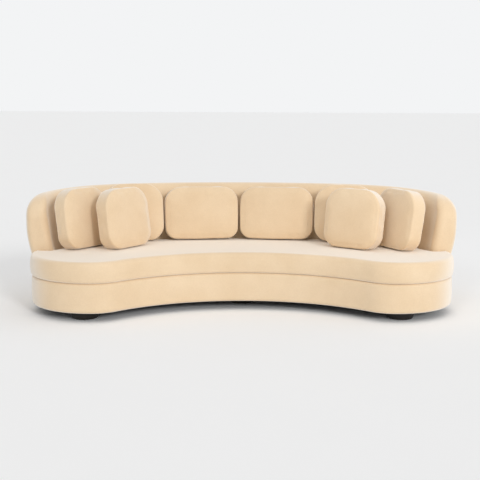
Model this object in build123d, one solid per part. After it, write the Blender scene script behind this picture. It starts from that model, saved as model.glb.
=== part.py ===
"""Curved sofa: kidney base, loose bench cushion, wrap-around back and loose back cushions.

Frame: millimetres, +Z up, the sofa faces -Y, X = 0 is its plane of symmetry, the floor is Z = 0.
Every plan outline is a chain of tangent arcs, and an inset moves all of them inwards together.
"""
import os
from math import asin, atan2, cos, degrees, pi, radians, sin, sqrt, tan

from build123d import *

# Overall sizes
HEIGHT = 795.0
SEAT_HEIGHT = 395.0
BASE_TOP = 256.0
FOOT_TOP = 57.0

# Plan of the base, at the seam under the seat
HALF_WIDTH = 1430.0
FRONT_Y = -647.5
REAR_Y = 585.5
LOBE_X = 990.0
LOBE_INNER_R = 260.0
LOBE_OUTER_R = 440.0
FRONT_R = 1170.0
SHOULDER_R = 650.0

# Upholstery
COVER_T = 3.0
FIT_GAP = 0.6
LAY_GAP = 0.3
BASE_EDGE_R = 10.0
BASE_FOAM_T = 15.0
FLANGE = 60.0
DUST_T = 1.0
DECK_T = 1.0
STRAP_T = 2.0
STRAP_WIDTH = 70.0
STRAP_PITCH = 150.0
STRAP_COUNT = 15
STRAP_INSET = 150.0

# Base frame
SKIN_T = 6.0
PLY_T = 18.0
RING_INNER = 230.0
PANEL_JOINT_X = 500.0
BAND_JOINT_Y = -180.0
RING_MID_Y = 150.0
RIB_X = (-1170.0, -720.0, -250.0, 250.0, 720.0, 1170.0)

# Feet and their fixings
FOOT_TOP_D = 195.0
FOOT_BOTTOM_D = 165.0
FOOT_EDGE_R = 5.0
GLIDE_D = 130.0
GLIDE_T = 4.0
STUD_D = 10.0
STUD_DEPTH = 35.0
STUD_ABOVE = 7.0
THREAD_GAP = 0.2
NUT_BARREL_D = 13.0
NUT_FLANGE_D = 28.0
NUT_FLANGE_T = 2.0
NUT_BARREL_L = 15.0
FEET = {
    "front_left": (-1037.0, -478.0),
    "front_right": (1037.0, -478.0),
    "rear_left": (-950.0, 165.0),
    "rear_right": (950.0, 165.0),
    "rear_centre": (0.0, 415.0),
    "mid_centre": (0.0, 15.0),
}

# Back: outer face swells out by BACK_SWELL, inner face leans by BACK_LEAN
BACK_T = 145.0
BACK_SWELL = 62.0
BACK_SWELL_Z = 560.0
BACK_LEAN = 9.0
BACK_CROWN = 120.0
BACK_LEVELS = (330.0, 430.0, BACK_SWELL_Z, 625.0)
WING_TIP_Y = -140.0
WING_CORNER_R = 50.0
WING_DROP_R = 190.0
BACK_OPENING_INSET = 33.0
RAIL_T = 25.0
TOP_RAIL_T = 18.0
RAIL_OUT = -45.0
RAIL_IN = -110.0
TOP_RAIL_Z = 690.0
TOP_RAIL_OUT = 12.0
TOP_RAIL_IN = -38.0
RAIL_TIP_SETBACK = 70.0
POST_DEPTH = 42.0
POST_WIDTH = 30.0
POST_X = (-850.0, -450.0, 0.0, 450.0, 850.0)
POST_SHOULDER_ANGLES = (18.0, 48.0)
BOLT_D = 8.0
BOLT_HOLE_D = 9.0
BOLT_HEAD_D = 16.0
BOLT_HEAD_T = 6.0
BOLT_BITE = 20.0
BOLT_OFFSET = -85.0
BOLT_X = (-620.0, -100.0, 100.0, 620.0)
BOLT_SHOULDER_ANGLES = (25.0, 55.0)

# Bench cushion
SEAT_TOP_R = 32.0
SEAT_BOTTOM_R = 10.0
SEAT_BACK_GAP = 2.0
SEAT_CORNER_R = 40.0
WADDING_T = 22.0

# Loose cushions: width, height, thickness and the radius of the face corners
CUSHION_T = 130.0
CUSHION_EDGE_R = 16.0
CUSHION_CROWN = 8.0
CUSHION_BULGE = 9.0
CUSHION_CORNER_R = 118.0
CUSHION_LEAST_CORNER_R = 8.0
CUSHION_DOME_MARGIN = 1.0
CUSHION_FACE_RUN = 90.0
CUSHION_LEAN = 8.5
SQUARE = (432.0, 418.0)
OBLONG = (540.0, 385.0)
CUSHIONS = {
    "left_end": (SQUARE, -1080.0, -66.0, 56.0),
    "left_front": (SQUARE, -795.0, -58.0, 53.0),
    "left_inner": (SQUARE, -772.0, 232.0, 14.5),
    "centre_left": (OBLONG, -289.0, 335.0, 7.0),
    "centre_right": (OBLONG, 258.0, 335.0, -7.0),
    "right_inner": (SQUARE, 738.0, 206.0, -14.5),
    "right_front": (SQUARE, 757.0, -84.0, -38.0),
    "right_end": (SQUARE, 1055.0, -88.0, -63.0),
}

# Centres and tangent angles of the plan arcs
WIDEST_Y = FRONT_Y + LOBE_OUTER_R
LOBE_INNER_Y = FRONT_Y + LOBE_INNER_R
FRONT_CY = LOBE_INNER_Y - sqrt((FRONT_R + LOBE_INNER_R) ** 2 - LOBE_X**2)
FRONT_ANGLE = degrees(atan2(LOBE_INNER_Y - FRONT_CY, LOBE_X))
SHOULDER_X = HALF_WIDTH - SHOULDER_R
REAR_RISE = REAR_Y - WIDEST_Y
BACK_R = (SHOULDER_X**2 + REAR_RISE**2 - SHOULDER_R**2) / (2 * (REAR_RISE - SHOULDER_R))
BACK_CY = REAR_Y - BACK_R
BACK_ANGLE = degrees(atan2(WIDEST_Y - BACK_CY, SHOULDER_X))

# Levels of the base, worked up from the floor
DUST_TOP = FOOT_TOP + DUST_T
PLATE_BOTTOM = DUST_TOP + COVER_T
PLATE_TOP = PLATE_BOTTOM + PLY_T
RING_TOP = BASE_TOP - COVER_T
RING_BOTTOM = RING_TOP - PLY_T
FOAM_INSET = COVER_T + FIT_GAP
SKIN_INSET = FOAM_INSET + BASE_FOAM_T + FIT_GAP
FRAME_INSET = SKIN_INSET + SKIN_T + FIT_GAP
CORE_INSET = COVER_T + FIT_GAP
CROWN_START = HEIGHT - BACK_CROWN
LAST_CROWN_ANGLE = 80.0
FAR = 2 * HALF_WIDTH


def polar(centre, radius, angle):
    """Point at an angle in degrees on a circle."""
    return (centre[0] + radius * cos(radians(angle)), centre[1] + radius * sin(radians(angle)))


def arc(centre, radius, start, end):
    """Arc about a centre between two angles in degrees."""
    return ThreePointArc(*(polar(centre, radius, a) for a in (start, (start + end) / 2, end)))


def outline(inset):
    """Closed kidney outline of the base, moved inwards by an inset."""
    shoulder, lobe = SHOULDER_R - inset, LOBE_OUTER_R - inset
    inner_lobe, front = LOBE_INNER_R - inset, FRONT_R + inset
    edges = [
        arc((SHOULDER_X, WIDEST_Y), shoulder, 0, BACK_ANGLE),
        arc((0, BACK_CY), BACK_R - inset, BACK_ANGLE, 180 - BACK_ANGLE),
        arc((-SHOULDER_X, WIDEST_Y), shoulder, 180 - BACK_ANGLE, 180),
        arc((-LOBE_X, WIDEST_Y), lobe, 180, 270),
        arc((-LOBE_X, LOBE_INNER_Y), inner_lobe, 270, 360 - FRONT_ANGLE),
        arc((0, FRONT_CY), front, 180 - FRONT_ANGLE, FRONT_ANGLE),
        arc((LOBE_X, LOBE_INNER_Y), inner_lobe, 180 + FRONT_ANGLE, 270),
        arc((LOBE_X, WIDEST_Y), lobe, 270, 360),
    ]
    return Face(Wire(edges))


def slab(inset, low, high):
    """Kidney plate between two levels."""
    return Pos(0, 0, low) * extrude(outline(inset), high - low)


def span(low_x, high_x, low_y=-FAR, high_y=FAR):
    """Tall block between two X and two Y values, for splitting plates."""
    block = Box(high_x - low_x, high_y - low_y, 3 * HEIGHT)
    return Pos((low_x + high_x) / 2, (low_y + high_y) / 2, HEIGHT / 2) * block


def rounded_ends(solid, top_radius, bottom_radius):
    """Round the top and bottom rims of a plate."""
    levels = solid.edges().filter_by(lambda e: abs(e.bounding_box().size.Z) < 1e-4).group_by(Axis.Z)
    solid = fillet(levels[-1], top_radius)
    levels = solid.edges().filter_by(lambda e: abs(e.bounding_box().size.Z) < 1e-4).group_by(Axis.Z)
    return fillet(levels[0], bottom_radius)


def cylinder_at(x, y, low, high, diameter):
    """Upright cylinder between two levels."""
    return Pos(x, y, low) * extrude(Circle(diameter / 2), high - low)


def group(solids):
    """Several separate solids as one node."""
    return Compound(children=list(solids))


# Back sections
def back_outer(z):
    """Outward place of the outer face at a level."""
    return BACK_SWELL * sin(pi / 2 * min(1.0, (z - BASE_TOP) / (BACK_SWELL_Z - BASE_TOP)))


def back_inner(z):
    """Outward place of the inner face at a level."""
    return -BACK_T + tan(radians(BACK_LEAN)) * (z - BASE_TOP)


def wing_angle(offset, y):
    """Angle on the shoulder arc, moved out by an offset, at which it has a given Y."""
    return degrees(asin((y - WIDEST_Y) / (SHOULDER_R + offset)))


def crescent(z, out, inside, tip_y, corner):
    """Wrap-around plan face between two offsets, with blunt round-cornered wing ends."""
    centre = (SHOULDER_X, WIDEST_Y)
    outer, inner = SHOULDER_R + out, SHOULDER_R + inside
    end = wing_angle((out + inside) / 2, tip_y)
    turn_out = degrees(asin(corner / (outer - corner)))
    turn_in = degrees(asin(corner / (inner + corner)))
    corner_out = polar(centre, outer - corner, end + turn_out)
    corner_in = polar(centre, inner + corner, end + turn_in)
    line_out = polar(centre, (outer - corner) * cos(radians(turn_out)), end)
    line_in = polar(centre, (inner + corner) * cos(radians(turn_in)), end)
    far_out = polar(centre, outer, end + turn_out)
    far_in = polar(centre, inner, end + turn_in)
    mid_out = polar(corner_out, corner, end + turn_out / 2 - 45)
    mid_in = polar(corner_in, corner, end + turn_in / 2 - 135)

    def right_side(flip):
        """Wing end as points, mirrored for the left wing."""
        return [(flip * p[0], p[1]) for p in (far_in, mid_in, line_in, line_out, mid_out, far_out)]

    right, left = right_side(1), right_side(-1)
    edges = [
        ThreePointArc(right[0], right[1], right[2]),
        Line(right[2], right[3]),
        ThreePointArc(right[3], right[4], right[5]),
        arc(centre, outer, end + turn_out, BACK_ANGLE),
        arc((0, BACK_CY), BACK_R + out, BACK_ANGLE, 180 - BACK_ANGLE),
        arc((-SHOULDER_X, WIDEST_Y), outer, 180 - BACK_ANGLE, 180 - end - turn_out),
        ThreePointArc(left[5], left[4], left[3]),
        Line(left[3], left[2]),
        ThreePointArc(left[2], left[1], left[0]),
        arc((-SHOULDER_X, WIDEST_Y), inner, 180 - end - turn_in, 180 - BACK_ANGLE),
        arc((0, BACK_CY), BACK_R + inside, 180 - BACK_ANGLE, BACK_ANGLE),
        arc(centre, inner, BACK_ANGLE, end + turn_in),
    ]
    return Pos(0, 0, z) * Face(Wire(edges))


def back_section(z, inset, crown_angle):
    """Plan of the back at a level, thinned towards its crown."""
    level = min(z, CROWN_START)
    middle = (back_outer(level) + back_inner(level)) / 2
    half = ((back_outer(level) - back_inner(level)) / 2 - inset) * cos(radians(crown_angle))
    climb = max(0.0, (z - (HEIGHT - inset - WING_DROP_R)) / WING_DROP_R)
    tip = WING_TIP_Y + inset + WING_DROP_R * (1 - sqrt(max(0.0, 1 - climb**2)))
    corner = min(WING_CORNER_R - inset, 0.75 * half)
    return crescent(z, middle + half, middle - half, tip, corner)


def back_body(inset, low):
    """Back with rounded crown, as a loft through level sections."""
    plain = [low, *BACK_LEVELS, CROWN_START]
    sections = [back_section(z, inset, 0.0) for z in plain]
    rise = (BACK_CROWN - inset) / sin(radians(LAST_CROWN_ANGLE))
    for angle in (20.0, 38.0, 54.0, 68.0, LAST_CROWN_ANGLE):
        sections.append(back_section(CROWN_START + rise * sin(radians(angle)), inset, angle))
    return loft(sections)


def back_place(offset, x=None, shoulder=None):
    """Plan point and outward angle on the back, by X on the rear arc or by angle on a shoulder."""
    if shoulder is None:
        angle = 90 - degrees(asin(x / BACK_R))
        return polar((0, BACK_CY), BACK_R + offset, angle), angle
    return polar((SHOULDER_X, WIDEST_Y), SHOULDER_R + offset, shoulder), shoulder


def stations(xs, shoulder_angles, offset):
    """Places along the whole back: rear arc, then both shoulders."""
    places = [back_place(offset, x=x) for x in xs]
    for angle in shoulder_angles:
        (x, y), out = back_place(offset, shoulder=angle)
        places += [((x, y), out), ((-x, y), 180 - out)]
    return places


# Base
def base_cover():
    """Fabric band with both edges turned in."""
    outer = rounded_ends(slab(0, DUST_TOP, BASE_TOP), BASE_EDGE_R, BASE_EDGE_R)
    inner_r = BASE_EDGE_R - COVER_T
    inner = rounded_ends(slab(COVER_T, PLATE_BOTTOM, RING_TOP), inner_r, inner_r)
    return outer - inner - slab(FLANGE, 0, HEIGHT)


def base_foam():
    """Foam band under the fabric, as a front and a rear length."""
    edge = BASE_EDGE_R - COVER_T
    band = rounded_ends(slab(FOAM_INSET, PLATE_BOTTOM, RING_TOP), edge, edge)
    band -= slab(FOAM_INSET + BASE_FOAM_T, 0, HEIGHT)
    return {
        "base_foam_front": band & span(-FAR, FAR, -FAR, BAND_JOINT_Y),
        "base_foam_rear": band & span(-FAR, FAR, BAND_JOINT_Y, FAR),
    }


def base_skin():
    """Bent plywood wall of the base box, as a front and a rear length."""
    wall = slab(SKIN_INSET, PLATE_BOTTOM, RING_TOP) - slab(SKIN_INSET + SKIN_T, 0, HEIGHT)
    return {
        "base_wall_front": wall & span(-FAR, FAR, -FAR, BAND_JOINT_Y),
        "base_wall_rear": wall & span(-FAR, FAR, BAND_JOINT_Y, FAR),
    }


def panel_split(name, plate):
    """Left, centre and right panel of a plate."""
    joint = PANEL_JOINT_X
    return {
        f"{name}_left": plate & span(-FAR, -joint),
        f"{name}_centre": plate & span(-joint, joint),
        f"{name}_right": plate & span(joint, FAR),
    }


def bottom_panels():
    """Plywood floor of the base, bored for the foot fixings."""
    plate = slab(FRAME_INSET, PLATE_BOTTOM, PLATE_TOP)
    for x, y in FEET.values():
        plate -= cylinder_at(x, y, 0, HEIGHT, NUT_BARREL_D + 2 * THREAD_GAP)
    return panel_split("bottom_panel", plate)


def top_panels():
    """Plywood ring that carries the webbing and the back, bored for the back bolts."""
    ring = slab(FRAME_INSET, RING_BOTTOM, RING_TOP) - slab(RING_INNER, 0, HEIGHT)
    for (x, y), _ in stations(BOLT_X, BOLT_SHOULDER_ANGLES, BOLT_OFFSET):
        ring -= cylinder_at(x, y, 0, HEIGHT, BOLT_HOLE_D)
    panels = panel_split("top_panel", ring)
    middle = panels.pop("top_panel_centre")
    panels["top_panel_front"] = middle & span(-FAR, FAR, -FAR, RING_MID_Y)
    panels["top_panel_rear"] = middle & span(-FAR, FAR, RING_MID_Y, FAR)
    return panels


def ribs():
    """Upright boards between the bottom and top panels."""
    fill = slab(FRAME_INSET, PLATE_TOP, RING_BOTTOM)
    return {f"rib_{n}": fill & span(x - PLY_T / 2, x + PLY_T / 2) for n, x in enumerate(RIB_X, 1)}


def webbing():
    """Elastic straps across the opening of the top panels."""
    field = slab(STRAP_INSET, RING_TOP, RING_TOP + STRAP_T)
    half = STRAP_WIDTH / 2
    first = -STRAP_PITCH * (STRAP_COUNT - 1) / 2
    places = [first + STRAP_PITCH * n for n in range(STRAP_COUNT)]
    return group(field & span(x - half, x + half) for x in places)


def deck_cloth():
    """Cloth over the straps, up to the fabric's turned-in edge."""
    cloth = slab(FLANGE + FIT_GAP, BASE_TOP - DECK_T, BASE_TOP)
    for (x, y), _ in stations(BOLT_X, BOLT_SHOULDER_ANGLES, BOLT_OFFSET):
        cloth -= cylinder_at(x, y, 0, HEIGHT, BOLT_HOLE_D)
    return cloth


def dust_cover():
    """Thin cloth under the base, over the fabric's turned-in edge."""
    cloth = slab(FLANGE / 2, FOOT_TOP, DUST_TOP)
    for x, y in FEET.values():
        cloth -= cylinder_at(x, y, 0, HEIGHT, NUT_BARREL_D)
    return cloth


def foot(x, y):
    """Low tapered disc, bored from above for its stud."""
    top, bottom = FOOT_TOP_D / 2, FOOT_BOTTOM_D / 2
    body = loft([Pos(0, 0, GLIDE_T) * Circle(bottom), Pos(0, 0, FOOT_TOP) * Circle(top)])
    body = fillet(body.edges().group_by(Axis.Z)[0], FOOT_EDGE_R)
    bore = cylinder_at(0, 0, FOOT_TOP - STUD_DEPTH, HEIGHT, STUD_D + 2 * THREAD_GAP)
    return Pos(x, y) * (body - bore)


def tee_nut(x, y):
    """Flanged nut let into the bottom panel from above."""
    nut = cylinder_at(x, y, PLATE_TOP - NUT_BARREL_L, PLATE_TOP, NUT_BARREL_D)
    nut += cylinder_at(x, y, PLATE_TOP, PLATE_TOP + NUT_FLANGE_T, NUT_FLANGE_D)
    return nut - cylinder_at(x, y, 0, HEIGHT, STUD_D + 2 * THREAD_GAP)


def foot_stud(x, y):
    """Threaded rod from the foot up through its nut."""
    return cylinder_at(x, y, FOOT_TOP - STUD_DEPTH, PLATE_TOP + STUD_ABOVE, STUD_D)


# Back
def back_cover():
    """Fabric over the back, open below between its turned-in edges."""
    shell = back_body(0, BASE_TOP) - back_body(COVER_T, BASE_TOP + COVER_T)
    low = BASE_TOP - COVER_T
    tip = WING_TIP_Y + BACK_OPENING_INSET
    mouth = crescent(low, -BACK_OPENING_INSET, BACK_OPENING_INSET - BACK_T, tip, BACK_OPENING_INSET / 2)
    return shell - extrude(mouth, 3 * COVER_T)


def rail(out, inside, low, high, grow=0.0):
    """Curved rail between two offsets and two levels."""
    tip = WING_TIP_Y + RAIL_TIP_SETBACK - grow
    face = crescent(low, out + grow, inside - grow, tip, (out - inside) / 4)
    return extrude(face, high - low)


def post(place, grow=0.0):
    """Upright leaning from the bottom rail to the top rail."""
    (x, y), angle = place
    reach = (TOP_RAIL_OUT + TOP_RAIL_IN - RAIL_OUT - RAIL_IN) / 2
    ends = []
    for level, shift in ((BASE_TOP + COVER_T + RAIL_T, 0.0), (TOP_RAIL_Z, reach)):
        px, py = polar((x, y), shift, angle)
        size = Rectangle(POST_DEPTH + 2 * grow, POST_WIDTH + 2 * grow)
        ends.append(Pos(px, py, level) * Rot(0, 0, angle) * size)
    return loft(ends)


def back_frame():
    """Bottom rail, top rail and posts, with the foam that is moulded round them."""
    low = BASE_TOP + COVER_T
    high = TOP_RAIL_Z + TOP_RAIL_T
    places = stations(POST_X, POST_SHOULDER_ANGLES, (RAIL_OUT + RAIL_IN) / 2)
    bottom = rail(RAIL_OUT, RAIL_IN, low, low + RAIL_T)
    top = rail(TOP_RAIL_OUT, TOP_RAIL_IN, TOP_RAIL_Z, high)
    foam = back_body(CORE_INSET, low)
    foam -= rail(RAIL_OUT, RAIL_IN, low, low + RAIL_T, FIT_GAP)
    foam -= rail(TOP_RAIL_OUT, TOP_RAIL_IN, TOP_RAIL_Z, high, FIT_GAP)
    for place in places:
        foam -= post(place, FIT_GAP)
    for (x, y), _ in stations(BOLT_X, BOLT_SHOULDER_ANGLES, BOLT_OFFSET):
        bottom -= cylinder_at(x, y, 0, low + BOLT_BITE, BOLT_D + 2 * THREAD_GAP)
    return {
        "back_bottom_rail": bottom,
        "back_top_rail": top,
        "back_posts": group(post(place) for place in places),
        "back_foam": foam,
    }


def back_bolts():
    """Bolts from under the top panels up into the bottom rail."""
    bolts = []
    for (x, y), _ in stations(BOLT_X, BOLT_SHOULDER_ANGLES, BOLT_OFFSET):
        shank = cylinder_at(x, y, RING_BOTTOM, BASE_TOP + COVER_T + BOLT_BITE, BOLT_D)
        bolts.append(shank + cylinder_at(x, y, RING_BOTTOM - BOLT_HEAD_T, RING_BOTTOM, BOLT_HEAD_D))
    return group(bolts)


# Bench cushion
def seat_plan(inset):
    """Kidney front of the seat, with a rear edge that follows the back round its wing ends."""
    reach = BACK_T + SEAT_BACK_GAP
    hollow = crescent(0, 3 * BACK_T, -reach - inset, WING_TIP_Y - SEAT_BACK_GAP - inset, WING_CORNER_R)
    face = outline(inset) - hollow
    tips = face.vertices().sort_by(Axis.X)
    return fillet([tips[0], tips[-1]], SEAT_CORNER_R - inset)


def seat_body(inset):
    """Bench cushion with soft top and bottom rims."""
    low, high = BASE_TOP + inset, SEAT_HEIGHT - inset
    body = Pos(0, 0, low) * extrude(seat_plan(inset), high - low)
    return rounded_ends(body, SEAT_TOP_R - inset, SEAT_BOTTOM_R - inset)


def seat_parts():
    """Cover, foam core and soft wadding of the bench cushion."""
    split = SEAT_HEIGHT - COVER_T - WADDING_T
    filling = seat_body(CORE_INSET)
    below = Pos(0, 0, split - HEIGHT) * extrude(Rectangle(2 * FAR, 2 * FAR), HEIGHT)
    return {
        "seat_cover": seat_body(0) - seat_body(COVER_T),
        "seat_core": filling & below,
        "seat_wadding": filling - below,
    }


# Loose cushions
def pebble(width, height, corner, bulge):
    """Round-cornered face outline with gently swelling sides, standing in the XZ plane."""
    cx, cz = width / 2 - corner - bulge, height / 2 - corner - bulge
    side_back = (cz**2 + bulge**2) / (2 * bulge) - (width / 2 - corner)
    cap_back = (cx**2 + bulge**2) / (2 * bulge) - (height / 2 - corner)
    side_r, cap_r = width / 2 + side_back, height / 2 + cap_back
    side = degrees(atan2(cz, cx + side_back))
    cap = degrees(atan2(cz + cap_back, cx))
    edges = [
        arc((-side_back, 0), side_r, -side, side),
        arc((cx, cz), corner, side, cap),
        arc((0, -cap_back), cap_r, cap, 180 - cap),
        arc((-cx, cz), corner, 180 - cap, 180 - side),
        arc((side_back, 0), side_r, 180 - side, 180 + side),
        arc((-cx, -cz), corner, 180 + side, 180 + cap),
        arc((0, cap_back), cap_r, 180 + cap, 360 - cap),
        arc((cx, -cz), corner, 360 - cap, 360 - side),
    ]
    return Rot(90, 0, 0) * Face(Wire(edges))


def cushion_face(size, draw):
    """Face outline of a cushion, drawn in by a distance."""
    corner = max(CUSHION_CORNER_R - draw, CUSHION_LEAST_CORNER_R)
    return pebble(size[0] - 2 * draw, size[1] - 2 * draw, corner, CUSHION_BULGE)


def cushion_body(size, inset):
    """Crowned cushion: boxed sides, soft rims and a shallow dome on each face."""
    flat = CUSHION_T / 2 - inset - CUSHION_CROWN
    rim = CUSHION_EDGE_R - inset
    body = Pos(0, -flat, 0) * extrude(cushion_face(size, inset), 2 * flat, dir=(0, 1, 0))
    rims = body.edges().filter_by(lambda e: abs(e.bounding_box().size.Y) < 1e-4)
    body = fillet(rims, rim)
    for side in (1, -1):
        sections = []
        for share in (0.0, 1 / 3, 2 / 3, 1.0):
            rise = flat + CUSHION_CROWN * sin(pi / 2 * share)
            draw = inset + rim + CUSHION_DOME_MARGIN + share * CUSHION_FACE_RUN
            sections.append(Pos(0, side * rise, 0) * cushion_face(size, draw))
        body += loft(sections)
    return body


def cushion_parts():
    """Cover and filling of each loose cushion, set leaning on the seat."""
    made = {}
    for size in (SQUARE, OBLONG):
        cover = cushion_body(size, 0) - cushion_body(size, COVER_T)
        made[size] = (cover, cushion_body(size, CORE_INSET))
    parts = {}
    for name, (size, x, y, yaw) in CUSHIONS.items():
        turn = Rot(0, 0, yaw) * Rot(-CUSHION_LEAN, 0, 0) * Pos(0, 0, size[1] / 2)
        drop = (turn * made[size][0]).bounding_box().min.Z
        place = Pos(x, y, SEAT_HEIGHT + LAY_GAP - drop) * turn
        parts[f"{name}_cushion_cover"] = place * made[size][0]
        parts[f"{name}_cushion_filling"] = place * made[size][1]
    return parts


def all_parts():
    """Every node of the sofa by name."""
    parts = {"base_cover": base_cover()}
    parts |= base_foam() | base_skin() | bottom_panels() | top_panels() | ribs()
    parts["seat_webbing"] = webbing()
    parts["deck_cloth"] = deck_cloth()
    parts["dust_cover"] = dust_cover()
    for name, (x, y) in FEET.items():
        parts[f"foot_{name}"] = foot(x, y)
    parts["foot_glides"] = group(cylinder_at(x, y, 0, GLIDE_T, GLIDE_D) for x, y in FEET.values())
    parts["foot_studs"] = group(foot_stud(x, y) for x, y in FEET.values())
    parts["tee_nuts"] = group(tee_nut(x, y) for x, y in FEET.values())
    parts["back_cover"] = back_cover()
    parts |= back_frame()
    parts["back_bolts"] = back_bolts()
    return parts | seat_parts() | cushion_parts()


if __name__ == "__main__":
    os.makedirs("parts", exist_ok=True)
    for node, shape in all_parts().items():
        export_step(shape, f"parts/{node}.step")
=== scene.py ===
import math

import bpy
import numpy as np
from mathutils import Matrix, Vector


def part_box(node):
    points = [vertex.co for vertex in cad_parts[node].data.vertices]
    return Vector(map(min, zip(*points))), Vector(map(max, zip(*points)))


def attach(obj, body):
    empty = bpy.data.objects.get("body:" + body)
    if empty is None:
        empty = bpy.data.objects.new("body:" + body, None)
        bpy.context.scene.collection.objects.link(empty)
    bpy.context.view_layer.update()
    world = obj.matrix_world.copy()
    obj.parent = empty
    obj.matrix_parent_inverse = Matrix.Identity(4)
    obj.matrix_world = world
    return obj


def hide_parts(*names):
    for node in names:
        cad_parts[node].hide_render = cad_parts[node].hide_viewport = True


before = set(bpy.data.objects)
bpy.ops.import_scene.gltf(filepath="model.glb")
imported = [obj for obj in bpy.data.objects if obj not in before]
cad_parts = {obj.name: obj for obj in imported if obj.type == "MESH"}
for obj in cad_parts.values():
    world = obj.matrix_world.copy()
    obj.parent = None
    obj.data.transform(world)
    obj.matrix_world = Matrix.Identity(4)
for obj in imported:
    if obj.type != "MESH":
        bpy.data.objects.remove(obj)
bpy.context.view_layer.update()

# Driving sizes in metres: plan of the sofa
HALF_WIDTH = 1.430
FRONT_Y = -0.6475
REAR_Y = 0.5855
LOBE_X = 0.990
LOBE_INNER_R = 0.260
LOBE_OUTER_R = 0.440
FRONT_R = 1.170
SHOULDER_R = 0.650

# Levels and edges of the base band and the bench cushion
BAND_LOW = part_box("base_cover")[0].z
BAND_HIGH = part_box("base_cover")[1].z
BAND_EDGE_R = 0.023
BAND_SET_BACK = 0.007
BAND_SWELL = 0.003
BAND_TURN_IN = 0.060
BAND_THICK = 0.003
BENCH_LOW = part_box("seat_cover")[0].z
BENCH_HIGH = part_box("seat_cover")[1].z
BENCH_TOP_R = 0.034
BENCH_LOW_R = 0.019
BENCH_SWELL = 0.004
BENCH_CROWN = 0.004
BENCH_GAP = 0.003
BENCH_WING_GAP = 0.009
BENCH_TIP_R = 0.040
BENCH_RIPPLE = 0.0012
BENCH_RIPPLE_LENGTH = 0.45
BENCH_RIPPLE_LOW = 0.05
BENCH_RIPPLE_FADE = 0.06
BENCH_SEED = 5

# Back shell
BACK_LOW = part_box("back_cover")[0].z
BACK_HIGH = 0.7965
BACK_T = 0.145
BACK_SWELL = 0.062
BACK_SWELL_Z = 0.560
BACK_LEAN = math.radians(9.0)
BACK_CROWN = 0.120
WING_TIP_Y = -0.140
WING_CORNER_R = 0.050
WING_CORNER_SHARE = 0.75
WING_DROP_R = 0.190
WING_SINK = 0.028
WING_SINK_Y = 0.450
WING_SINK_Z = 0.600

# Loose cushions: face width, height, upper and lower corner radius, and each one's turn in degrees
CUSHION_T = 0.130
CUSHION_EDGE_R = 0.012
CUSHION_CROWN = 0.008
CUSHION_BULGE = 0.010
CUSHION_LEAN = math.radians(8.5)
CUSHION_SLACK = 0.985
CUSHION_BLOW = 0.007
CUSHION_VOXEL = 0.006
CUSHION_RIM_TURN = math.radians(80.0)
CUSHION_SWELL_RATE = 1.6
CUSHION_RIPPLE = 0.0012
CUSHION_RIPPLE_LENGTH = 0.16
CUSHION_SEED = 20
CLOTH_FRAMES = 20
EVENING_ROUNDS = 14
SEAM_DEPTH = 0.0016
SEAM_HALF_WIDTH = 0.004
SEAM_INSET = CUSHION_EDGE_R * 0.3
SQUARE = (0.432, 0.418, 0.122, 0.092)
OBLONG = (0.540, 0.385, 0.100, 0.070)
CUSHIONS = {
    "left_end": (SQUARE, 56.0),
    "left_front": (SQUARE, 53.0),
    "left_inner": (SQUARE, 14.5),
    "centre_left": (OBLONG, 7.0),
    "centre_right": (OBLONG, -7.0),
    "right_inner": (SQUARE, -14.5),
    "right_front": (SQUARE, -38.0),
    "right_end": (SQUARE, -63.0),
}

# Points along lines and rows of the surfaces
ARC_POINTS = 160
ROUND_POINTS = 60
STRAIGHT_POINTS = 40
SIDE_POINTS = 200
BAND_POINTS = 1200
BENCH_POINTS = 520
CUSHION_POINTS = 240
SEAM_POINTS = 480
BACK_CORNER_POINTS = 14
BACK_END_POINTS = 12
BACK_SIDE_POINTS = 120
BACK_REAR_POINTS = 110
BAND_EDGE_ROWS = 9
BAND_SIDE_ROWS = 13
BENCH_EDGE_ROWS = 10
BENCH_SIDE_ROWS = 9
BACK_ROWS = 30
CROWN_ROWS = 26
CUSHION_RIM_ROWS = 8
CUSHION_FACE_ROWS = 30
BENCH_FACE_ROWS = 61
THINNEST = 1e-5
MERGE_DISTANCE = 2e-5
SLIVER = 1e-6
RIPPLE_WAVES = 14
RIPPLE_SHARE = 0.7

# Centres and tangent angles of the plan arcs
WIDEST_Y = FRONT_Y + LOBE_OUTER_R
LOBE_INNER_Y = FRONT_Y + LOBE_INNER_R
FRONT_CY = LOBE_INNER_Y - math.sqrt((FRONT_R + LOBE_INNER_R) ** 2 - LOBE_X**2)
FRONT_ANGLE = math.atan2(LOBE_INNER_Y - FRONT_CY, LOBE_X)
SHOULDER_X = HALF_WIDTH - SHOULDER_R
REAR_RISE = REAR_Y - WIDEST_Y
BACK_R = (SHOULDER_X**2 + REAR_RISE**2 - SHOULDER_R**2) / (2 * (REAR_RISE - SHOULDER_R))
BACK_CY = REAR_Y - BACK_R
BACK_ANGLE = math.atan2(WIDEST_Y - BACK_CY, SHOULDER_X)
HALF_TURN = math.pi
QUARTER = HALF_TURN / 2


# Plan curves
def arc(centre, radius, start, end, count=ARC_POINTS):
    """Points at evenly spaced angles on a circle, without the last one."""
    angle = start + (end - start) * np.arange(count) / count
    return np.stack([centre[0] + radius * np.cos(angle), centre[1] + radius * np.sin(angle)], 1)


def evenly(points, count, closed=True):
    """The same polyline again at equal steps along its length."""
    line = np.vstack([points, points[:1]]) if closed else points
    run = np.concatenate([[0.0], np.cumsum(np.linalg.norm(np.diff(line, axis=0), axis=1))])
    stops = run[-1] * (np.arange(count) / count if closed else np.linspace(0.0, 1.0, count))
    return np.stack([np.interp(stops, run, line[:, k]) for k in range(line.shape[1])], 1)


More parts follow.
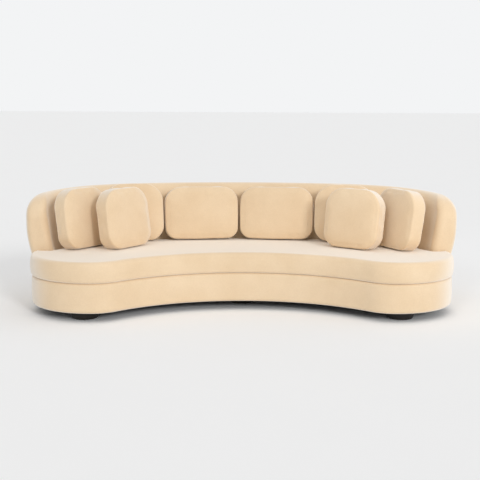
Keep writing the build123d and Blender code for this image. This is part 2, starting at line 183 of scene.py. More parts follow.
def kidney():
    """Closed plan line of the base, counter-clockwise: shoulders, rear arc, two lobes, hollow front."""
    right, left = (SHOULDER_X, WIDEST_Y), (-SHOULDER_X, WIDEST_Y)
    return np.vstack(
        [
            arc(right, SHOULDER_R, 0.0, BACK_ANGLE),
            arc((0.0, BACK_CY), BACK_R, BACK_ANGLE, HALF_TURN - BACK_ANGLE),
            arc(left, SHOULDER_R, HALF_TURN - BACK_ANGLE, HALF_TURN),
            arc((-LOBE_X, WIDEST_Y), LOBE_OUTER_R, HALF_TURN, 1.5 * HALF_TURN),
            arc((-LOBE_X, LOBE_INNER_Y), LOBE_INNER_R, 1.5 * HALF_TURN, 2 * HALF_TURN - FRONT_ANGLE),
            arc((0.0, FRONT_CY), FRONT_R, HALF_TURN - FRONT_ANGLE, FRONT_ANGLE),
            arc((LOBE_X, LOBE_INNER_Y), LOBE_INNER_R, HALF_TURN + FRONT_ANGLE, 1.5 * HALF_TURN),
            arc((LOBE_X, WIDEST_Y), LOBE_OUTER_R, 1.5 * HALF_TURN, 2 * HALF_TURN),
        ]
    )


def inward(points, closed=True):
    """Unit normals to the left of the walking direction, which is inwards on a counter-clockwise line."""
    if closed:
        step = np.roll(points, -1, 0) - np.roll(points, 1, 0)
    else:
        step = np.gradient(points, axis=0)
    step = step / np.linalg.norm(step, axis=1, keepdims=True)
    return np.stack([-step[:, 1], step[:, 0]], 1)


def crescent(out, inside, tip_y, corner):
    """Closed plan line of the back between two offsets from the rear line, with blunt wing ends."""
    centre = np.array([SHOULDER_X, WIDEST_Y])
    outer, inner = SHOULDER_R + out, SHOULDER_R + inside
    end = math.asin((tip_y - WIDEST_Y) / (SHOULDER_R + (out + inside) / 2))
    turn_out = math.asin(corner / (outer - corner))
    turn_in = math.asin(corner / (inner + corner))
    corner_out = centre + (outer - corner) * np.array([math.cos(end + turn_out), math.sin(end + turn_out)])
    corner_in = centre + (inner + corner) * np.array([math.cos(end + turn_in), math.sin(end + turn_in)])
    nose_in = arc(corner_in, corner, end + turn_in - HALF_TURN, end - QUARTER, BACK_CORNER_POINTS)
    nose_out = arc(corner_out, corner, end - QUARTER, end + turn_out, BACK_CORNER_POINTS)
    flat = nose_out[0] - (corner_in + corner * np.array([math.cos(end - QUARTER), math.sin(end - QUARTER)]))
    blunt = nose_out[0] - flat * (1 - np.arange(BACK_END_POINTS)[:, None] / BACK_END_POINTS)
    side_out = arc(centre, outer, end + turn_out, BACK_ANGLE, BACK_SIDE_POINTS)
    rear_out = arc((0.0, BACK_CY), BACK_R + out, BACK_ANGLE, QUARTER, BACK_REAR_POINTS)
    rear_in = arc((0.0, BACK_CY), BACK_R + inside, BACK_ANGLE, QUARTER, BACK_REAR_POINTS)
    side_in = arc(centre, inner, end + turn_in, BACK_ANGLE, BACK_SIDE_POINTS)
    middle_out = np.array([[0.0, BACK_CY + BACK_R + out]])
    middle_in = np.array([[0.0, BACK_CY + BACK_R + inside]])
    inner_line = [middle_in, rear_in[::-1], side_in[::-1], nose_in[1:]]
    right = np.vstack([*inner_line, blunt, nose_out, side_out, rear_out])
    left = right[:0:-1] * [-1.0, 1.0]
    return np.vstack([right, middle_out, left])


# Mesh makers
def ring_faces(rows, columns, wrap_rows=False, wrap_columns=True):
    """Quads of a grid, joined end to end where a direction closes on itself."""
    i = np.arange(rows if wrap_rows else rows - 1)
    j = np.arange(columns if wrap_columns else columns - 1)
    i, j = np.meshgrid(i, j, indexing="ij")
    k, m = (i + 1) % rows, (j + 1) % columns
    return np.stack([i * columns + j, i * columns + m, k * columns + m, k * columns + j], -1).reshape(-1, 4)


def surface(name, points, faces):
    """Mesh object from vertex and face arrays, with doubles merged and faces turned outwards."""
    mesh = bpy.data.meshes.new(name)
    mesh.from_pydata(points.reshape(-1, 3).tolist(), [], faces.tolist())
    piece = bpy.data.objects.new(name, mesh)
    bpy.context.collection.objects.link(piece)
    select_only(piece)
    bpy.ops.object.mode_set(mode="EDIT")
    bpy.ops.mesh.select_all(action="SELECT")
    bpy.ops.mesh.remove_doubles(threshold=MERGE_DISTANCE)
    bpy.ops.mesh.dissolve_degenerate(threshold=SLIVER)
    bpy.ops.mesh.normals_make_consistent(inside=False)
    bpy.ops.object.mode_set(mode="OBJECT")
    mesh.shade_smooth()
    return piece


def select_only(piece):
    """Make one object the active and only selected one."""
    for other in bpy.context.selected_objects:
        other.select_set(False)
    piece.select_set(True)
    bpy.context.view_layer.objects.active = piece


def places(piece):
    """Vertex places of a mesh as an array."""
    flat = np.empty(len(piece.data.vertices) * 3)
    piece.data.vertices.foreach_get("co", flat)
    return flat.reshape(-1, 3)


def put(piece, points):
    """Write vertex places back to a mesh."""
    piece.data.vertices.foreach_set("co", points.ravel())
    piece.data.update()


def ripple(points, seed, size):
    """Soft random unevenness: a mean of slow waves in random directions, about -1 to 1."""
    dice = np.random.default_rng(seed)
    waves = dice.normal(size=(RIPPLE_WAVES, 3)) * (HALF_TURN / size)
    phase = dice.uniform(0.0, 2 * HALF_TURN, RIPPLE_WAVES)
    return np.sin(points @ waves.T + phase).sum(1) / math.sqrt(RIPPLE_WAVES) * RIPPLE_SHARE


def carried(line, normal, profile):
    """Grid of a profile of (inset, level) pairs carried along a plan line."""
    inset, level = profile[:, 0], profile[:, 1]
    plan = line[None, :, :] + inset[:, None, None] * normal[None, :, :]
    height = np.repeat(level[:, None, None], len(line), 1)
    return np.concatenate([plan, height], 2)


# Pieces
def band_profile():
    """Closed profile of the base fabric: turned-in ends, round lower edge, full side, round top edge."""
    r, tall = BAND_EDGE_R, BAND_HIGH - BAND_LOW
    turn = np.linspace(0.0, QUARTER, BAND_EDGE_ROWS)
    low = np.stack([r * (1 - np.sin(turn)), BAND_LOW + r * (1 - np.cos(turn))], 1)
    rise = np.linspace(0.0, 1.0, BAND_SIDE_ROWS)[1:-1]
    side = np.stack([-BAND_SWELL * np.sin(HALF_TURN * rise), BAND_LOW + r + (tall - 2 * r) * rise], 1)
    high = np.stack([r * (1 - np.cos(turn)), BAND_HIGH - r * (1 - np.sin(turn))], 1)
    outer = np.vstack([[[BAND_TURN_IN, BAND_LOW]], low, side, high, [[BAND_TURN_IN, BAND_HIGH]]])
    outer[1:-1, 0] += BAND_SET_BACK
    back = outer[::-1].copy()
    back[:, 0] = np.clip(back[:, 0] + BAND_THICK, None, BAND_TURN_IN)
    back[:, 1] = np.clip(back[:, 1], BAND_LOW + BAND_THICK, BAND_HIGH - BAND_THICK)
    return np.vstack([outer, back])


def base_band():
    """Velvet band round the base."""
    line = evenly(kidney(), BAND_POINTS)
    grid = carried(line, inward(line), band_profile())
    return surface("base_band", grid, ring_faces(grid.shape[0], grid.shape[1], True, True)[:, ::-1])


def bench_chains():
    """Front and rear plan lines of the bench cushion, from its left tip to its right tip."""
    reach = BACK_T + BENCH_GAP
    inner = SHOULDER_R - reach
    nose_r = WING_CORNER_R
    end = math.asin((WING_TIP_Y - BENCH_WING_GAP - WIDEST_Y) / (SHOULDER_R - reach / 2))
    centre = np.array([SHOULDER_X, WIDEST_Y])
    tip_turn = math.asin(BENCH_TIP_R / (SHOULDER_R - BENCH_TIP_R))
    tip_angle = end - tip_turn
    tip = centre + (SHOULDER_R - BENCH_TIP_R) * np.array([math.cos(tip_angle), math.sin(tip_angle)])
    turn_in = math.asin(nose_r / (inner + nose_r))
    nose = centre + (inner + nose_r) * np.array([math.cos(end + turn_in), math.sin(end + turn_in)])
    round_tip = arc(tip, BENCH_TIP_R, end + QUARTER, tip_angle, ROUND_POINTS)
    to_tip = nose + nose_r * np.array([math.cos(end - QUARTER), math.sin(end - QUARTER)])
    straight = to_tip + (round_tip[0] - to_tip) * (np.arange(STRAIGHT_POINTS) / STRAIGHT_POINTS)[:, None]
    round_nose = arc(nose, nose_r, end + turn_in - HALF_TURN, end - QUARTER, ROUND_POINTS)
    side = arc(centre, inner, BACK_ANGLE, end + turn_in, SIDE_POINTS)
    rear = arc((0.0, BACK_CY), BACK_R - reach, QUARTER, BACK_ANGLE)
    half = len(round_tip) // 2
    rear_half = np.vstack([rear, side, round_nose, straight, round_tip[: half + 1]])
    lobe = np.vstack(
        [
            round_tip[half:],
            arc(centre, SHOULDER_R, tip_angle, 0.0, STRAIGHT_POINTS),
            arc((LOBE_X, WIDEST_Y), LOBE_OUTER_R, 0.0, -QUARTER),
            arc((LOBE_X, LOBE_INNER_Y), LOBE_INNER_R, 1.5 * HALF_TURN, HALF_TURN + FRONT_ANGLE),
            arc((0.0, FRONT_CY), FRONT_R, FRONT_ANGLE, QUARTER),
            [[0.0, FRONT_CY + FRONT_R]],
        ]
    )
    mirror = np.array([-1.0, 1.0])
    front = np.vstack([lobe * mirror, lobe[-2::-1]])
    back = np.vstack([rear_half[:0:-1] * mirror, rear_half])
    return evenly(front, BENCH_POINTS, False), evenly(back, BENCH_POINTS, False)


def bench_profile():
    """Rim profile of the bench from its underside to its top: tight lower edge, full side, soft top edge."""
    tall = BENCH_HIGH - BENCH_LOW
    turn = np.linspace(0.0, QUARTER, BENCH_EDGE_ROWS)
    low = np.stack([BENCH_LOW_R * (1 - np.sin(turn)), BENCH_LOW + BENCH_LOW_R * (1 - np.cos(turn))], 1)
    rise = np.linspace(0.0, 1.0, BENCH_SIDE_ROWS)[1:-1]
    side_tall = tall - BENCH_LOW_R - BENCH_TOP_R
    side = np.stack([-BENCH_SWELL * np.sin(HALF_TURN * rise), BENCH_LOW + BENCH_LOW_R + side_tall * rise], 1)
    high = np.stack([BENCH_TOP_R * (1 - np.cos(turn)), BENCH_HIGH - BENCH_TOP_R * (1 - np.sin(turn))], 1)
    return np.vstack([low, side, high])


def bench_cushion():
    """Bench cushion: sections from the front line to the rear line, with rims at both and a crowned top."""
    front, rear = bench_chains()
    rim = bench_profile()
    plain = rim.copy()
    plain[:, 0] = np.maximum(plain[:, 0], 0.0)
    front_rim = carried(front, inward(front, False), rim)
    rear_rim = carried(rear, -inward(rear, False), plain)
    share = np.linspace(0.0, 1.0, BENCH_FACE_ROWS)[1:-1]
    top = front_rim[-1] + share[:, None, None] * (rear_rim[-1] - front_rim[-1])
    top[:, :, 2] += BENCH_CROWN * np.sin(HALF_TURN * share)[:, None]
    under = rear_rim[0] + share[:, None, None] * (front_rim[0] - rear_rim[0])
    grid = np.concatenate([front_rim, top, rear_rim[::-1], under])
    piece = surface("bench_cushion", grid, ring_faces(grid.shape[0], grid.shape[1], True, False))
    points = places(piece)
    lift = np.clip((points[:, 2] - BENCH_LOW - BENCH_RIPPLE_LOW) / BENCH_RIPPLE_FADE, 0.0, 1.0)
    points[:, 2] += BENCH_RIPPLE * lift * ripple(points, BENCH_SEED, BENCH_RIPPLE_LENGTH)
    put(piece, points)
    return piece


def back_offsets(level):
    """Outward places of the outer and inner face of the back at a level."""
    rise = min(1.0, (level - BACK_LOW) / (BACK_SWELL_Z - BACK_LOW))
    return BACK_SWELL * math.sin(QUARTER * rise), -BACK_T + math.tan(BACK_LEAN) * (level - BACK_LOW)


def back_shell():
    """Back: level crescents that swell and lean, close over a round crown, and drop and sink at the wings."""
    start = BACK_HIGH - BACK_CROWN
    rows = [(BACK_LOW, 0.0)]
    for level in np.linspace(BACK_LOW, start, BACK_ROWS):
        rows.append((level, 1.0))
    for angle in np.linspace(0.0, QUARTER, CROWN_ROWS)[1:]:
        rows.append((start + BACK_CROWN * math.sin(angle), math.cos(angle)))
    grid = []
    for level, thin in rows:
        out, inside = back_offsets(min(level, start))
        middle, half = (out + inside) / 2, max(THINNEST, (out - inside) / 2 * thin)
        climb = min(1.0, max(0.0, (level - (BACK_HIGH - WING_DROP_R)) / WING_DROP_R))
        tip = WING_TIP_Y + WING_DROP_R * (1 - math.sqrt(1 - climb**2))
        corner = min(WING_CORNER_R, WING_CORNER_SHARE * half)
        line = crescent(middle + half, middle - half, tip, corner)
        grid.append(np.column_stack([line, np.full(len(line), level)]))
    grid = np.array(grid)
    forward = np.clip((WING_SINK_Y - grid[..., 1]) / WING_SINK_Y, 0.0, None)
    upper = np.clip((grid[..., 2] - WING_SINK_Z) / (BACK_HIGH - WING_SINK_Z), 0.0, 1.0)
    grid[..., 2] -= WING_SINK * forward * upper
    return surface("back_shell", grid, ring_faces(grid.shape[0], grid.shape[1]))


def pebble(size, count):
    """Face line of a cushion about its middle: a round-cornered oblong with its corners drawn in a little."""
    width, height, upper, lower = size
    line = np.vstack(
        [
            arc((width / 2 - lower, lower - height / 2), lower, -QUARTER, 0.0, ROUND_POINTS),
            arc((width / 2 - upper, height / 2 - upper), upper, 0.0, QUARTER, ROUND_POINTS),
            arc((upper - width / 2, height / 2 - upper), upper, QUARTER, HALF_TURN, ROUND_POINTS),
            arc((lower - width / 2, lower - height / 2), lower, HALF_TURN, 1.5 * HALF_TURN, ROUND_POINTS),
        ]
    )
    line = evenly(line, count)
    across, aloft = line[:, 0] * 2 / width, line[:, 1] * 2 / height
    return line - CUSHION_BULGE * np.stack([across * aloft**2, aloft * across**2], 1)


def cushion_form(name, size):
    """Cushion about its own middle: boxed sides, tight rims, faces that swell to the middle."""
    half, rim = CUSHION_T / 2, CUSHION_EDGE_R
    rise = half - CUSHION_CROWN - rim
    line = pebble(size, CUSHION_POINTS)
    normal = inward(line)
    turn = np.linspace(0.0, CUSHION_RIM_TURN, CUSHION_RIM_ROWS)
    draw = rim * (1 - np.cos(turn))
    depth = rise + rim * np.sin(turn)
    rim_plan = line[None] + draw[:, None, None] * normal[None]
    share = np.linspace(0.0, 1.0, CUSHION_FACE_ROWS)[1:]
    face_plan = rim_plan[-1][None] * (1 - share)[:, None, None]
    full = np.minimum(1.0, share * CUSHION_SWELL_RATE)
    swell = depth[-1] + (half - depth[-1]) * np.sin(QUARTER * full)
    plan = np.concatenate([rim_plan, face_plan])
    level = np.repeat(np.concatenate([depth, swell])[:, None], len(line), 1)
    far = np.stack([plan[..., 0], level, plan[..., 1]], 2)
    near = far[::-1] * [1.0, -1.0, 1.0]
    grid = np.concatenate([near, far])
    return surface(name, grid, ring_faces(grid.shape[0], grid.shape[1]))


# Materials
def material(name):
    """Empty node material with one Principled shader."""
    made = bpy.data.materials.new(name)
    made.use_nodes = True
    nodes = made.node_tree.nodes
    shader = nodes["Principled BSDF"]
    return made, nodes, made.node_tree.links, shader


def noise(nodes, links, coords, scale, detail, rough):
    """Noise texture on object coordinates."""
    node = nodes.new("ShaderNodeTexNoise")
    node.inputs["Scale"].default_value = scale
    node.inputs["Detail"].default_value = detail
    node.inputs["Roughness"].default_value = rough
    links.new(coords, node.inputs["Vector"])
    return node.outputs["Fac"]


def ramp(nodes, links, source, low, high, dark, light):
    """Colour ramp between two tones."""
    node = nodes.new("ShaderNodeValToRGB")
    node.color_ramp.elements[0].position = low
    node.color_ramp.elements[0].color = (*dark, 1.0)
    node.color_ramp.elements[1].position = high
    node.color_ramp.elements[1].color = (*light, 1.0)
    links.new(source, node.inputs["Fac"])
    return node.outputs["Color"]


def blend_colour(nodes, links, kind, amount, a, b):
    """Mix of two colours."""
    node = nodes.new("ShaderNodeMix")
    node.data_type = "RGBA"
    node.blend_type = kind
    node.inputs["Factor"].default_value = amount
    links.new(a, node.inputs["A"])
    links.new(b, node.inputs["B"])
    return node.outputs["Result"]


def linear(red, green, blue):
    """Screen colour from 0 to 255 as a linear colour."""
    share = np.array([red, green, blue]) / 255.0
    return tuple(np.where(share <= 0.04045, share / 12.92, ((share + 0.055) / 1.055) ** 2.4).tolist())


def wave(nodes, links, coords, way, pitch, wander):
    """Bands across one axis, one pitch apart and a little uneven."""
    node = nodes.new("ShaderNodeTexWave")
    node.bands_direction = way
    node.inputs["Scale"].default_value = HALF_TURN / (10.0 * pitch)
    node.inputs["Distortion"].default_value = wander
    node.inputs["Detail"].default_value = 2.0
    links.new(coords, node.inputs["Vector"])
    return node.outputs["Color"]


def relief(nodes, links, shader, height, strength, depth):
    """Fine relief from the same texture as the tone."""
    bump = nodes.new("ShaderNodeBump")
    bump.inputs["Strength"].default_value = strength
    bump.inputs["Distance"].default_value = depth
    links.new(height, bump.inputs["Height"])
    links.new(bump.outputs["Normal"], shader.inputs["Normal"])


def velvet():
    """Short-pile velvet in warm sand: faint patches, fine grain, and a painted sheen that makes the base
    colour paler where the surface is seen at a grazing angle.
    """
    made, nodes, links, shader = material("sand_velvet")
    coords = nodes.new("ShaderNodeTexCoord").outputs["Object"]
    patches = noise(nodes, links, coords, scale=3.5, detail=4.0, rough=0.6)
    tufts = noise(nodes, links, coords, scale=110.0, detail=3.0, rough=0.65)
    pile = noise(nodes, links, coords, scale=650.0, detail=2.0, rough=0.6)
    base = ramp(nodes, links, patches, 0.34, 0.68, linear(231, 206, 172), linear(238, 215, 183))
    tufted = ramp(nodes, links, tufts, 0.30, 0.70, (0.95, 0.945, 0.94), (1.0, 1.0, 1.0))
    grain = ramp(nodes, links, pile, 0.25, 0.75, (0.92, 0.91, 0.90), (1.0, 1.0, 1.0))
    tone = blend_colour(nodes, links, "MULTIPLY", 0.9, base, tufted)
    tone = blend_colour(nodes, links, "MULTIPLY", 0.9, tone, grain)
    # Painted sheen: the base colour is mixed towards a pale cream where the surface is seen at a grazing
    # angle
    along = nodes.new("ShaderNodeLayerWeight")
    along.inputs["Blend"].default_value = 0.5
    sheen = nodes.new("ShaderNodeMapRange")
    sheen.interpolation_type = "SMOOTHSTEP"
    sheen.inputs["From Min"].default_value = 0.25
    sheen.inputs["From Max"].default_value = 0.95
    sheen.inputs["To Max"].default_value = 0.85
    links.new(along.outputs["Facing"], sheen.inputs["Value"])
    painted_sheen = nodes.new("ShaderNodeMix")
    painted_sheen.data_type = "RGBA"
    painted_sheen.inputs["B"].default_value = (*linear(247, 240, 230), 1.0)
    links.new(sheen.outputs["Result"], painted_sheen.inputs["Factor"])
    links.new(tone, painted_sheen.inputs["A"])
    links.new(painted_sheen.outputs["Result"], shader.inputs["Base Color"])
    shader.inputs["Roughness"].default_value = 0.85
    shader.inputs["Specular IOR Level"].default_value = 0.15
    shader.inputs["Sheen Weight"].default_value = 0.6
    shader.inputs["Sheen Roughness"].default_value = 0.40
    shader.inputs["Sheen Tint"].default_value = (*linear(255, 250, 244), 1.0)
    relief(nodes, links, shader, pile, strength=0.25, depth=0.0008)
    return made


def plain_finish(name, dark, light, scale, rough, metal=0.0):
    """Felt or metal: two tones of fine noise with matching relief."""
    made, nodes, links, shader = material(name)
    coords = nodes.new("ShaderNodeTexCoord").outputs["Object"]
    grain = noise(nodes, links, coords, scale, detail=4.0, rough=0.6)
    tone = ramp(nodes, links, grain, 0.3, 0.7, linear(*dark), linear(*light))
    links.new(tone, shader.inputs["Base Color"])
    shader.inputs["Roughness"].default_value = rough
    shader.inputs["Metallic"].default_value = metal
    relief(nodes, links, shader, grain, strength=0.3, depth=0.0003)
    return made


def wood_finish(name, dark, light, stretch, layers, rough):
    """Wood: noise drawn out along the grain, crossed by the thin level lines of its layers."""
    made, nodes, links, shader = material(name)
    coords = nodes.new("ShaderNodeTexCoord").outputs["Object"]
    mapping = nodes.new("ShaderNodeMapping")
    mapping.inputs["Scale"].default_value = stretch
    links.new(coords, mapping.inputs["Vector"])
    grain = noise(nodes, links, mapping.outputs["Vector"], scale=90.0, detail=5.0, rough=0.65)
    tone = ramp(nodes, links, grain, 0.32, 0.68, linear(*dark), linear(*light))
    lines = wave(nodes, links, coords, "Z", layers, 0.8)
    lined = ramp(nodes, links, lines, 0.0, 0.6, (0.78, 0.76, 0.74), (1.0, 1.0, 1.0))
    tone = blend_colour(nodes, links, "MULTIPLY", 0.8, tone, lined)
    links.new(tone, shader.inputs["Base Color"])
    shader.inputs["Roughness"].default_value = rough
    relief(nodes, links, shader, grain, strength=0.3, depth=0.0004)
    return made


def woven_finish(name, dark, light, pitch, rough):
    """Plain weave: the difference of two crossed sets of threads, as tone and as relief."""
    made, nodes, links, shader = material(name)
    coords = nodes.new("ShaderNodeTexCoord").outputs["Object"]
    warp = wave(nodes, links, coords, "X", pitch, 0.4)
    weft = wave(nodes, links, coords, "Y", pitch, 0.4)
    weave = blend_colour(nodes, links, "DIFFERENCE", 1.0, warp, weft)
    tone = ramp(nodes, links, weave, 0.05, 0.80, linear(*dark), linear(*light))
    links.new(tone, shader.inputs["Base Color"])
    shader.inputs["Roughness"].default_value = rough
    relief(nodes, links, shader, weave, strength=0.5, depth=0.0005)
    return made


# Cushion simulation
def inflate(piece, cap):
    """Blow the closed fabric form up by cloth pressure, with the way of every point limited to a cap."""
    start = places(piece)
    cloth = piece.modifiers.new("cover", "CLOTH")
    settings = cloth.settings
    settings.quality = 6
    settings.mass = 0.3
    settings.tension_stiffness = 12.0
    settings.compression_stiffness = 12.0
    settings.shear_stiffness = 6.0
    settings.bending_stiffness = 0.4
    settings.use_pressure = True
    settings.uniform_pressure_force = 4.0
    settings.effector_weights.gravity = 0.0
    cloth.collision_settings.use_collision = False
    cloth.point_cache.frame_start = 1
    cloth.point_cache.frame_end = CLOTH_FRAMES
    scene = bpy.context.scene
    for step in range(1, CLOTH_FRAMES + 1):
        scene.frame_set(step)
    shown = piece.evaluated_get(bpy.context.evaluated_depsgraph_get()).data
    flat = np.empty(len(shown.vertices) * 3)
    shown.vertices.foreach_get("co", flat)
    way = flat.reshape(-1, 3) - start
    far = np.linalg.norm(way, axis=1, keepdims=True)
    way = way * np.minimum(1.0, cap / np.maximum(far, 1e-9))
    piece.modifiers.remove(cloth)
    scene.frame_set(1)
    put(piece, start + evened(piece, way, EVENING_ROUNDS))


def evened(piece, values, rounds):
    """Values on the vertices, each taken half-way to the mean of its neighbours a number of times."""
    pairs = np.empty(len(piece.data.edges) * 2, dtype=np.int32)
    piece.data.edges.foreach_get("vertices", pairs)
    one, other = pairs.reshape(-1, 2).T
    count = np.bincount(pairs, minlength=len(values))[:, None]
    for _ in range(rounds):
        total = np.zeros_like(values)
        np.add.at(total, one, values[other])
        np.add.at(total, other, values[one])
        values = (values + total / count) / 2
    return values


def fit_form(piece, size):
    """Bring the blown-up form back to its sewn width, thickness and height."""
    points = places(piece)
    sewn = np.array([size[0], CUSHION_T, size[1]])
    put(piece, points * sewn / (points.max(0) - points.min(0)))


def remesh(piece, voxel):
    """Even quads over the whole form."""
    select_only(piece)
    piece.data.remesh_voxel_size = voxel
    bpy.ops.object.voxel_remesh()
    piece.data.shade_smooth()


def refine(piece):
    """One applied round of subdivision."""
    select_only(piece)
    finer = piece.modifiers.new("finer", "SUBSURF")
    finer.levels = 1
    finer.render_levels = 1
    bpy.ops.object.modifier_apply(modifier=finer.name)


def sew(piece, size):
    """Sewn seams: a shallow groove along both rims, deepest on the rim line and gone at its half width."""
    points = places(piece)
    line = pebble(size, SEAM_POINTS)
    rim = np.abs(points[:, 1]) - (CUSHION_T / 2 - CUSHION_CROWN - SEAM_INSET)
    near = np.flatnonzero(np.abs(rim) < 2 * SEAM_HALF_WIDTH)
    flat = points[near][:, [0, 2]]
    inside = np.min(np.linalg.norm(flat[:, None, :] - line[None], axis=2), axis=1) - SEAM_INSET
    apart = np.hypot(inside, rim[near]) / SEAM_HALF_WIDTH
    depth = SEAM_DEPTH * np.clip(1.0 - apart**2, 0.0, None) ** 2
    middle = np.linalg.norm(points[near], axis=1, keepdims=True)
    points[near] -= points[near] / middle * depth[:, None]
    put(piece, points)


def loose_cushion(name, form, yaw):
    """Copy of a form, leant back, turned and set down where its CAD cushion stands."""
    low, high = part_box(name + "_cushion_cover")
    turn, lean = math.radians(yaw), -CUSHION_LEAN
    tilt = np.array([[1, 0, 0], [0, math.cos(lean), -math.sin(lean)], [0, math.sin(lean), math.cos(lean)]])
    spin = np.array([[math.cos(turn), -math.sin(turn), 0], [math.sin(turn), math.cos(turn), 0], [0, 0, 1]])
    piece = bpy.data.objects.new(name + "_cushion", form.data.copy())
    bpy.context.collection.objects.link(piece)
    local = places(piece)
    seed = CUSHION_SEED + sorted(CUSHIONS).index(name)
    swell = local / np.linalg.norm(local, axis=1, keepdims=True)
    local = local + swell * (CUSHION_RIPPLE * ripple(local, seed, CUSHION_RIPPLE_LENGTH))[:, None]
    points = local @ tilt.T @ spin.T
    points += np.array([(low.x + high.x) / 2, (low.y + high.y) / 2, 0.0])
    points[:, 2] += low.z - points[:, 2].min()
    put(piece, points)
    piece.data.shade_smooth()
    return piece


def place_piece(piece, finish, body, slot, *nodes):
    """Finish, body and CAD nodes of a piece. The slot argument is not used."""
    piece.data.materials.clear()
    piece.data.materials.append(finish)
    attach(piece, body)
    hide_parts(*nodes)
    return piece


# Soft pieces and the CAD nodes that each one stands for
VELVET = velvet()
place_piece(base_band(), VELVET, "frame", "velvet", "base_cover", "base_foam_front", "base_foam_rear")
bench = place_piece(bench_cushion(), VELVET, "seat", "velvet", "seat_cover", "seat_core", "seat_wadding")
shell = place_piece(back_shell(), VELVET, "frame", "velvet", "back_cover", "back_foam")

forms = {}
for label, size in (("square_form", SQUARE), ("oblong_form", OBLONG)):
    form = cushion_form(label, size)
    put(form, places(form) * CUSHION_SLACK)
    remesh(form, CUSHION_VOXEL)
    inflate(form, CUSHION_BLOW)
    refine(form)
    fit_form(form, size)
    sew(form, size)
    forms[size] = form
for name, (size, yaw) in CUSHIONS.items():
    cushion = loose_cushion(name, forms[size], yaw)
    body = name + "_cushion"
    place_piece(cushion, VELVET, body, "velvet", body + "_cover", body + "_filling")
for form in forms.values():
    bpy.data.objects.remove(form)

# Finishes of the CAD nodes that stay
FINISHES = {
    "foot": wood_finish("dark_stained_wood", (18, 14, 11), (34, 27, 21), (1.0, 1.0, 0.10), 0.019, 0.38),
    "felt": plain_finish("grey_felt", (52, 50, 48), (78, 76, 72), 900.0, 0.95),
    "steel": plain_finish("zinc_steel", (150, 152, 154), (190, 192, 194), 220.0, 0.35, 1.0),
    "ply": wood_finish("birch_plywood", (186, 150, 106), (216, 184, 140), (0.08, 1.0, 1.0), 0.0030, 0.62),
    "strap": woven_finish("elastic_webbing", (30, 29, 28), (104, 98, 90), 0.0040, 0.80),
    "deck": woven_finish("deck_cloth", (178, 158, 128), (218, 200, 170), 0.0030, 0.90),
    "dust": woven_finish("dust_cloth", (20, 20, 21), (44, 44, 45), 0.0026, 0.95),
}
NODE_FINISH = {
    "foot_glides": "felt",
    "foot_studs": "steel",
    "tee_nuts": "steel",
    "back_bolts": "steel",
    "seat_webbing": "strap",
    "deck_cloth": "deck",
    "dust_cover": "dust",
}
for node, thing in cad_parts.items():
    if thing.hide_render:
        continue
    kind = NODE_FINISH.get(node, "foot" if node.startswith("foot_") else "ply")
    thing.data.materials.clear()
    thing.data.materials.append(FINISHES[kind])


# Floor, light and camera
FLOOR_REACH = 60.0
CAMERA_PLACE = (-0.1515, -6.7755, 1.481)
CAMERA_YAW = math.radians(1.16)
CAMERA_PITCH = math.radians(8.70)
CAMERA_ROLL = math.radians(0.30)
SENSOR_WIDTH = 36.0
FOCAL_PIXELS = 980.0
PHOTO_PIXELS = 480.0


def studio_floor():
    """Wide pale floor that keeps the shadow."""
    made, nodes, links, shader = material("pale_floor")
    coords = nodes.new("ShaderNodeTexCoord").outputs["Object"]
    speck = noise(nodes, links, coords, scale=2.0, detail=2.0, rough=0.5)
    tone = ramp(nodes, links, speck, 0.3, 0.7, (0.950, 0.960, 0.970), (0.955, 0.965, 0.975))
    links.new(tone, shader.inputs["Base Color"])
    shader.inputs["Roughness"].default_value = 0.9
    shader.inputs["Specular IOR Level"].default_value = 0.0
    corners = FLOOR_REACH * np.array([[-1.0, -1.0, 0.0], [1.0, -1.0, 0.0], [1.0, 1.0, 0.0], [-1.0, 1.0, 0.0]])
    mesh = bpy.data.meshes.new("floor")
    mesh.from_pydata(corners.tolist(), [], [(0, 1, 2, 3)])
    floor = bpy.data.objects.new("floor", mesh)
    bpy.context.collection.objects.link(floor)
    mesh.materials.append(made)


def studio_world():
    """Soft white surroundings, dimmer to the left, with a pale backdrop for the camera and reflections."""
    world = bpy.data.worlds.new("studio")
    bpy.context.scene.world = world
    world.use_nodes = True
    nodes, links = world.node_tree.nodes, world.node_tree.links
    lit = nodes["Background"]
    lit.inputs["Color"].default_value = (1.0, 0.99, 0.98, 1.0)
    aim = nodes.new("ShaderNodeTexCoord")
    parts = nodes.new("ShaderNodeSeparateXYZ")
    links.new(aim.outputs["Generated"], parts.inputs["Vector"])
    dim = nodes.new("ShaderNodeMapRange")
    dim.inputs["From Min"].default_value = -1.0
    dim.inputs["From Max"].default_value = 0.2
    dim.inputs["To Min"].default_value = 0.36
    dim.inputs["To Max"].default_value = 0.82
    links.new(parts.outputs["X"], dim.inputs["Value"])
    links.new(dim.outputs["Result"], lit.inputs["Strength"])
    shown = nodes.new("ShaderNodeBackground")
    shown.inputs["Color"].default_value = (*linear(243, 244, 245), 1.0)
    shown.inputs["Strength"].default_value = 1.0
    path = nodes.new("ShaderNodeLightPath")
    either = nodes.new("ShaderNodeMath")
    either.operation = "MAXIMUM"
    links.new(path.outputs["Is Camera Ray"], either.inputs[0])
    links.new(path.outputs["Is Glossy Ray"], either.inputs[1])
    any_ray = nodes.new("ShaderNodeMath")
    any_ray.operation = "MAXIMUM"
    links.new(either.outputs["Value"], any_ray.inputs[0])
    links.new(path.outputs["Is Transmission Ray"], any_ray.inputs[1])
    mix = nodes.new("ShaderNodeMixShader")
    links.new(any_ray.outputs["Value"], mix.inputs["Fac"])
    links.new(lit.outputs["Background"], mix.inputs[1])
    links.new(shown.outputs["Background"], mix.inputs[2])
    links.new(mix.outputs["Shader"], nodes["World Output"].inputs["Surface"])


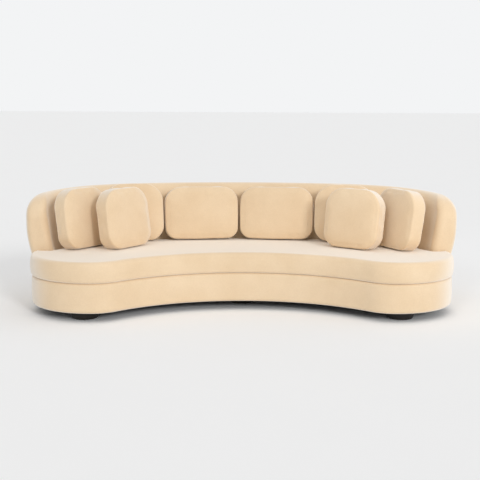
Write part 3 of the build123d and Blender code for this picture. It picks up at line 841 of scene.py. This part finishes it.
def lamp(name, place, spread, power):
    """Far soft lamp that shines from a place towards the middle of the floor, the same all over it."""
    data = bpy.data.lights.new(name, "SUN")
    data.angle = math.radians(spread)
    data.energy = power
    made = bpy.data.objects.new(name, data)
    bpy.context.collection.objects.link(made)
    flat = math.hypot(place[0], place[1])
    made.location = place
    made.rotation_euler = (math.atan2(flat, place[2]), 0.0, math.atan2(place[0], -place[1]))


def spot(name, place, target, cone, radius, power):
    """Near soft lamp that lights one part of the sofa."""
    data = bpy.data.lights.new(name, "SPOT")
    data.spot_size = math.radians(cone)
    data.spot_blend = 1.0
    data.shadow_soft_size = radius
    data.energy = power
    made = bpy.data.objects.new(name, data)
    bpy.context.collection.objects.link(made)
    along = np.array(target) - np.array(place)
    flat = math.hypot(along[0], along[1])
    made.location = place
    made.rotation_euler = (math.atan2(flat, -along[2]), 0.0, math.atan2(-along[0], along[1]))


def camera():
    """Camera at the photographed view: long lens, a little above the crown, turned slightly to the right."""
    yaw, pitch, roll = CAMERA_YAW, CAMERA_PITCH, CAMERA_ROLL
    data = bpy.data.cameras.new("camera")
    data.sensor_width = SENSOR_WIDTH
    data.lens = SENSOR_WIDTH * FOCAL_PIXELS / PHOTO_PIXELS
    made = bpy.data.objects.new("camera", data)
    bpy.context.collection.objects.link(made)
    forward = np.array([math.sin(yaw) * math.cos(pitch), math.cos(yaw) * math.cos(pitch), -math.sin(pitch)])
    level = np.array([math.cos(yaw), -math.sin(yaw), 0.0])
    upright = np.cross(level, forward)
    right = math.cos(roll) * level + math.sin(roll) * upright
    up = math.cos(roll) * upright - math.sin(roll) * level
    turned = Matrix(np.stack([right, up, -forward], 1).tolist()).to_4x4()
    made.matrix_world = Matrix.Translation(CAMERA_PLACE) @ turned
    bpy.context.scene.camera = made


studio_floor()
studio_world()
lamp("key", place=(2.15, -4.05, 1.75), spread=12.0, power=1.02)
lamp("fill", place=(-2.0, -2.4, 3.6), spread=70.0, power=0.30)
spot("inner_right", place=(-0.3, -3.2, 2.4), target=(1.12, 0.0, 0.62), cone=27.0, radius=0.6, power=130.0)
camera()
bpy.context.scene.view_settings.view_transform = "Standard"
